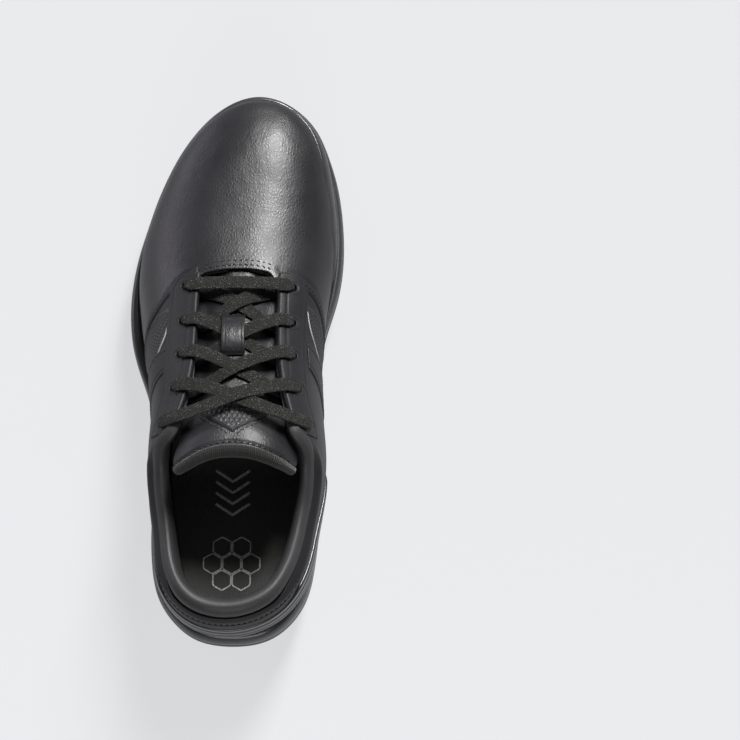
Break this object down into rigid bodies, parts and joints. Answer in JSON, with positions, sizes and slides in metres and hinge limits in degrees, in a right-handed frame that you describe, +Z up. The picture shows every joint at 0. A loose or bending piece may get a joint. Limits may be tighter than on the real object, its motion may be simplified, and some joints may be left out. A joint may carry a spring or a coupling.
{
  "type": "golf shoe",
  "caption": "Left lace-up golf shoe with a leather upper, padded collar and tongue, lift-out sockliner and soft spikes that screw into a moulded sole.",
  "frame": {"origin": "on the ground, under the middle of the shoe's length, on the line of the heel's back seam", "axes": "+Y from the heel to the toe, +X towards the medial (big toe) side, +Z up"},
  "size_m": [0.1156, 0.3002, 0.1136],
  "materials": {
    "grain_leather": "black full-grain leather, satin",
    "smooth_leather": "black smooth leather, satin",
    "collar_leather": "soft black padded-collar leather",
    "lining": "matt black textile",
    "sockliner": "black cloth over moulded foam",
    "knit": "ribbed knit",
    "lace": "flat woven, black",
    "foam": "open-cell padding foam",
    "board": "fibre board",
    "midsole": "moulded foam with a tight skin, black",
    "outsole": "moulded black, semi-gloss",
    "gloss_tpu": "moulded black, gloss",
    "shank": "glass-filled moulding",
    "receptacle": "grey moulding",
    "spike": "dark grey moulding",
    "aglet": "black lace tip"
  },
  "bodies": {
    "shoe": {"outsole": "outsole", "midsole": "midsole", "shank": "shank", "insole_board": "board", "sockliner_forefoot": "sockliner", "vamp": "grain_leather", "vamp_lining": "lining", "toe_puff": "board", "quarter_lateral": "smooth_leather", "quarter_medial": "smooth_leather", "quarter_lining_lateral": "lining", "quarter_lining_medial": "lining", "eyestay_lateral": "smooth_leather", "eyestay_medial": "smooth_leather", "side_panel_lateral": "smooth_leather", "side_panel_medial": "smooth_leather", "heel_counter": "board", "collar_foam": "foam", "collar_lining": "collar_leather", "backstay": "smooth_leather", "heel_stabiliser": "gloss_tpu", "tongue_cover": "grain_leather", "tongue_foam": "foam", "tongue_lining": "lining", "tongue_patch": "gloss_tpu", "lace_keeper": "grain_leather", "lace": "lace", "aglet_lateral": "aglet", "aglet_medial": "aglet", "spike_receptacle_1": "receptacle", "spike_receptacle_2": "receptacle", "spike_receptacle_3": "receptacle", "spike_receptacle_4": "receptacle", "spike_receptacle_5": "receptacle", "spike_receptacle_6": "receptacle"},
    "tongue_flap": {"tongue_flap_cover": "grain_leather", "tongue_flap_foam": "foam", "tongue_flap_lining": "lining", "tongue_binding": "knit"},
    "sockliner_rear": {"sockliner_heel": "sockliner"},
    "spike_toe_medial": {"soft_spike_1": "spike"},
    "spike_toe_lateral": {"soft_spike_2": "spike"},
    "spike_ball_medial": {"soft_spike_3": "spike"},
    "spike_ball_lateral": {"soft_spike_4": "spike"},
    "spike_heel_medial": {"soft_spike_5": "spike"},
    "spike_heel_lateral": {"soft_spike_6": "spike"}
  },
  "joints": [
    {"name": "tongue_fold", "type": "hinge", "parent": "shoe", "child": "tongue_flap", "pos_m": [0.0034, -0.046, 0.106], "axis": [-1, 0, 0], "range_deg": [0, 35]},
    {"name": "sockliner_lift", "type": "hinge", "parent": "shoe", "child": "sockliner_rear", "pos_m": [0, 0.018, 0.0298], "axis": [-1, 0, 0], "range_deg": [0, 8]},
    {"name": "spike_turn_toe_medial", "type": "hinge", "parent": "shoe", "child": "spike_toe_medial", "pos_m": [0.0244, 0.099, 0.006], "axis": [0, 0, 1], "range_deg": [0, 90]},
    {"name": "spike_turn_toe_lateral", "type": "hinge", "parent": "shoe", "child": "spike_toe_lateral", "pos_m": [-0.0176, 0.097, 0.006], "axis": [0, 0, 1], "range_deg": [0, 90]},
    {"name": "spike_turn_ball_medial", "type": "hinge", "parent": "shoe", "child": "spike_ball_medial", "pos_m": [0.0334, 0.047, 0.005], "axis": [0, 0, 1], "range_deg": [0, 90]},
    {"name": "spike_turn_ball_lateral", "type": "hinge", "parent": "shoe", "child": "spike_ball_lateral", "pos_m": [-0.0346, 0.04, 0.005], "axis": [0, 0, 1], "range_deg": [0, 90]},
    {"name": "spike_turn_heel_medial", "type": "hinge", "parent": "shoe", "child": "spike_heel_medial", "pos_m": [0.0194, -0.108, 0.005], "axis": [0, 0, 1], "range_deg": [0, 90]},
    {"name": "spike_turn_heel_lateral", "type": "hinge", "parent": "shoe", "child": "spike_heel_lateral", "pos_m": [-0.0236, -0.104, 0.005], "axis": [0, 0, 1], "range_deg": [0, 90]}
  ]
}
